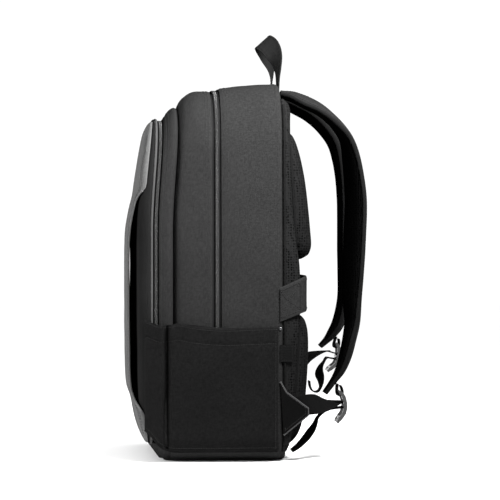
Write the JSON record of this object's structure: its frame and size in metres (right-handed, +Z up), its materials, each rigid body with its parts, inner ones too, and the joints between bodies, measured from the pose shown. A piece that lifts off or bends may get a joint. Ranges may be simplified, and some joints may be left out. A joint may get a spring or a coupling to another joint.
{
  "type": "laptop backpack",
  "caption": "Soft laptop backpack with a zipped main compartment and front pocket, side pockets, padded back and shoulder straps and a webbing grab handle.",
  "frame": {"origin": "centre of the base on the surface it stands on", "axes": "+X to the wearer's right, +Y out of the back pads towards the wearer, +Z up"},
  "size_m": [0.3244, 0.2977, 0.5271],
  "materials": {
    "body_cloth": "matt, fine woven polyester, charcoal",
    "overlay_cloth": "matt, fine woven polyester, charcoal, smoother",
    "zip_tape": "matt woven tape, black",
    "zip_coil": "satin nylon coil, black",
    "slider_metal": "satin black paint",
    "pad_mesh": "matt open air mesh, black",
    "webbing": "ribbed woven webbing, black",
    "lock_plastic": "satin moulded plastic, black"
  },
  "bodies": {
    "root": {"rear_shell": "body_cloth", "middle_shell": "body_cloth", "front_gusset": "body_cloth", "front_panel": "body_cloth", "base_panel": "body_cloth", "back_panel": "body_cloth", "trolley_strap": "body_cloth", "side_pocket_right": "body_cloth", "side_pocket_left": "body_cloth", "webbing_wing_right": "body_cloth", "webbing_wing_left": "body_cloth", "side_label": "body_cloth", "front_overlay": "overlay_cloth", "front_piping": "overlay_cloth", "main_zip_tape": "zip_tape", "front_zip_tape": "zip_tape", "main_zip_coil": "zip_coil", "front_zip_coil": "zip_coil", "main_zip_slider": "slider_metal", "front_zip_slider": "slider_metal", "pocket_rivet_right": "slider_metal", "pocket_rivet_left": "slider_metal", "upper_pad_right": "pad_mesh", "upper_pad_left": "pad_mesh", "lower_pad_right": "pad_mesh", "lower_pad_left": "pad_mesh", "shoulder_strap_right": "pad_mesh", "shoulder_strap_left": "pad_mesh", "grab_handle": "webbing", "lock_loop_right": "webbing", "lock_loop_left": "webbing", "adjuster_webbing_right": "webbing", "adjuster_webbing_left": "webbing", "ladder_lock_right": "lock_plastic", "ladder_lock_left": "lock_plastic"}
  },
  "joints": []
}
